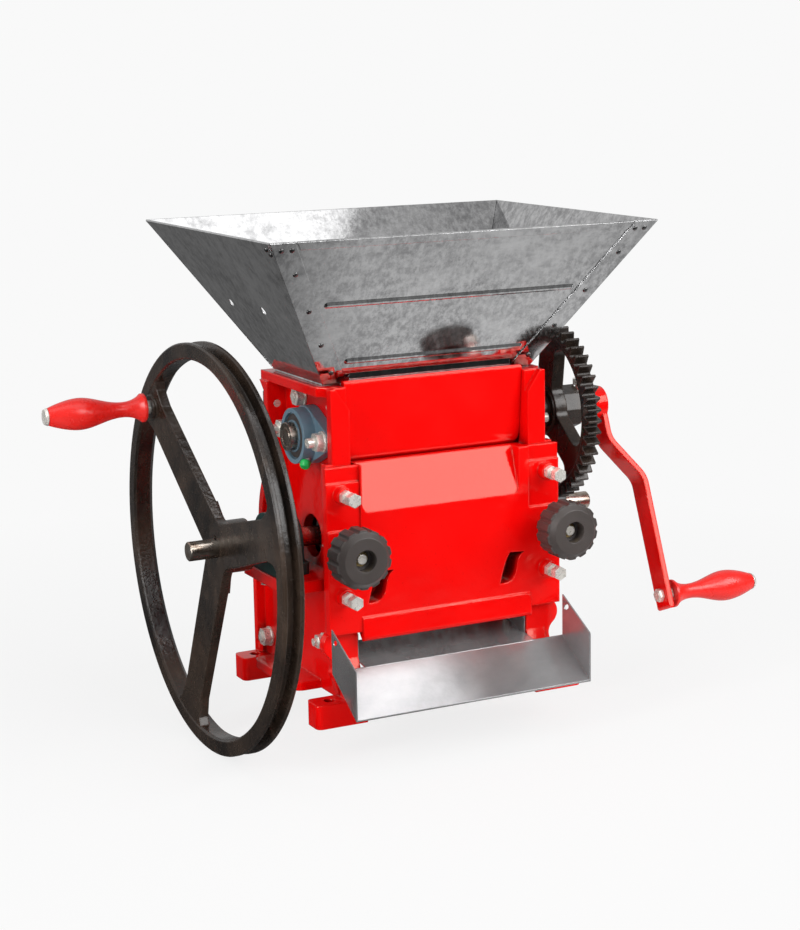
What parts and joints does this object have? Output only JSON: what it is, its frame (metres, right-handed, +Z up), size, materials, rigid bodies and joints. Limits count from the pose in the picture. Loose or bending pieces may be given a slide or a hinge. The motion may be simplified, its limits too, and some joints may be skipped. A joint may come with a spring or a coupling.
{
  "type": "coffee pulper",
  "caption": "Hand-cranked drum coffee pulper: red cast frame, steel hopper and chute, grooved flywheel, geared crank and a breast plate set by knobs and jack screws.",
  "frame": {"origin": "centre of the four foot bolts on the plane of the feet", "axes": "+Z up, -Y the front with breast plate and chute, -X the flywheel side, +X the gear and crank side"},
  "size_m": [0.7297, 0.42, 0.5305],
  "materials": {
    "red_paint": "gloss red enamel over cast iron",
    "steel_sheet": "bright rolled stainless sheet",
    "zinc": "bright zinc plated",
    "grey_housing": "satin blue grey paint",
    "green_housing": "satin dark green paint",
    "black_iron": "brown black enamel",
    "bright_steel": "ground steel",
    "grey_iron": "bare cast iron",
    "drum_sheet": "punched steel sheet",
    "black_plastic": "moulded black",
    "bush_brass": "turned",
    "red_plastic": "moulded red"
  },
  "bodies": {
    "frame": {"right_side": "red_paint", "left_side": "red_paint", "throat_front": "red_paint", "hopper_front": "steel_sheet", "hopper_back": "steel_sheet", "hopper_right": "steel_sheet", "hopper_left": "steel_sheet", "chute": "steel_sheet", "throat_back": "steel_sheet", "rear_cover": "steel_sheet", "panel_bolts": "zinc", "tie_rods": "zinc", "tie_nuts": "zinc", "hopper_bolts": "zinc", "chute_bolts": "zinc", "upper_bearing_bolts": "zinc", "lower_bearing_bolts": "zinc", "knob_studs": "zinc", "upper_right_housing": "grey_housing", "upper_left_housing": "grey_housing", "lower_right_housing": "green_housing", "lower_left_housing": "green_housing"},
    "drum": {"drum_shaft": "bright_steel", "wheel_key": "bright_steel", "drum_core": "grey_iron", "drum_jacket": "drum_sheet", "lower_rings": "bright_steel", "flywheel": "black_iron", "pinion": "black_iron", "pinion_pin": "bright_steel", "wheel_grip_pin": "zinc"},
    "crank": {"crank_shaft": "bright_steel", "gear_key": "bright_steel", "gear": "black_iron", "upper_rings": "bright_steel", "feed_roller": "grey_iron", "crank_arm": "red_paint", "crank_set_screw": "zinc", "crank_grip_pin": "zinc"},
    "wheel_handle": {"wheel_grip": "red_plastic"},
    "crank_handle": {"crank_grip": "red_plastic"},
    "breast": {"breast_plate": "red_paint", "lock_nuts": "zinc", "right_sleeve": "bright_steel", "left_sleeve": "bright_steel"},
    "left_clamp": {"left_knob": "black_plastic", "left_bush": "bush_brass"},
    "right_clamp": {"right_knob": "black_plastic", "right_bush": "bush_brass"},
    "upper_right_jack": {"upper_right_jack_screw": "zinc"},
    "upper_left_jack": {"upper_left_jack_screw": "zinc"},
    "lower_right_jack": {"lower_right_jack_screw": "zinc"},
    "lower_left_jack": {"lower_left_jack_screw": "zinc"}
  },
  "joints": [
    {"name": "drum_spin", "type": "hinge", "parent": "frame", "child": "drum", "pos_m": [0, -0.0065, 0.1745], "axis": [1, 0, 0], "continuous": true},
    {"name": "crank_spin", "type": "hinge", "parent": "frame", "child": "crank", "pos_m": [0, -0.0205, 0.28424], "axis": [1, 0, 0], "continuous": true},
    {"name": "wheel_handle_spin", "type": "hinge", "parent": "drum", "child": "wheel_handle", "pos_m": [-0.29, 0.12309, 0.30229], "axis": [1, 0, 0], "continuous": true},
    {"name": "crank_handle_spin", "type": "hinge", "parent": "crank", "child": "crank_handle", "pos_m": [0.32, -0.10216, 0.08211], "axis": [1, 0, 0], "continuous": true},
    {"name": "breast_slide", "type": "slide", "parent": "frame", "child": "breast", "axis": [0, -1, 0], "range_m": [0, 0.003]},
    {"name": "left_knob_turn", "type": "hinge", "parent": "breast", "child": "left_clamp", "pos_m": [-0.1185, -0.1365, 0.18], "axis": [0, -1, 0], "range_deg": [0, 720]},
    {"name": "right_knob_turn", "type": "hinge", "parent": "breast", "child": "right_clamp", "pos_m": [0.1185, -0.1365, 0.18], "axis": [0, -1, 0], "range_deg": [0, 720]},
    {"name": "upper_right_jack_turn", "type": "hinge", "parent": "frame", "child": "upper_right_jack", "pos_m": [0.117, -0.1165, 0.235], "axis": [0, 1, 0], "range_deg": [0, 864]},
    {"name": "upper_left_jack_turn", "type": "hinge", "parent": "frame", "child": "upper_left_jack", "pos_m": [-0.117, -0.1165, 0.235], "axis": [0, 1, 0], "range_deg": [0, 864]},
    {"name": "lower_right_jack_turn", "type": "hinge", "parent": "frame", "child": "lower_right_jack", "pos_m": [0.117, -0.1165, 0.131], "axis": [0, 1, 0], "range_deg": [0, 864]},
    {"name": "lower_left_jack_turn", "type": "hinge", "parent": "frame", "child": "lower_left_jack", "pos_m": [-0.117, -0.1165, 0.131], "axis": [0, 1, 0], "range_deg": [0, 864]}
  ],
  "couplings": [
    {"joint": "crank_spin", "follows": "drum_spin", "ratio": -0.18},
    {"joint": "left_knob_turn", "follows": "breast_slide", "rad_per_m": 4188.8},
    {"joint": "right_knob_turn", "follows": "breast_slide", "rad_per_m": 4188.8},
    {"joint": "upper_right_jack_turn", "follows": "breast_slide", "rad_per_m": 5026.5},
    {"joint": "upper_left_jack_turn", "follows": "breast_slide", "rad_per_m": 5026.5},
    {"joint": "lower_right_jack_turn", "follows": "breast_slide", "rad_per_m": 5026.5},
    {"joint": "lower_left_jack_turn", "follows": "breast_slide", "rad_per_m": 5026.5}
  ]
}
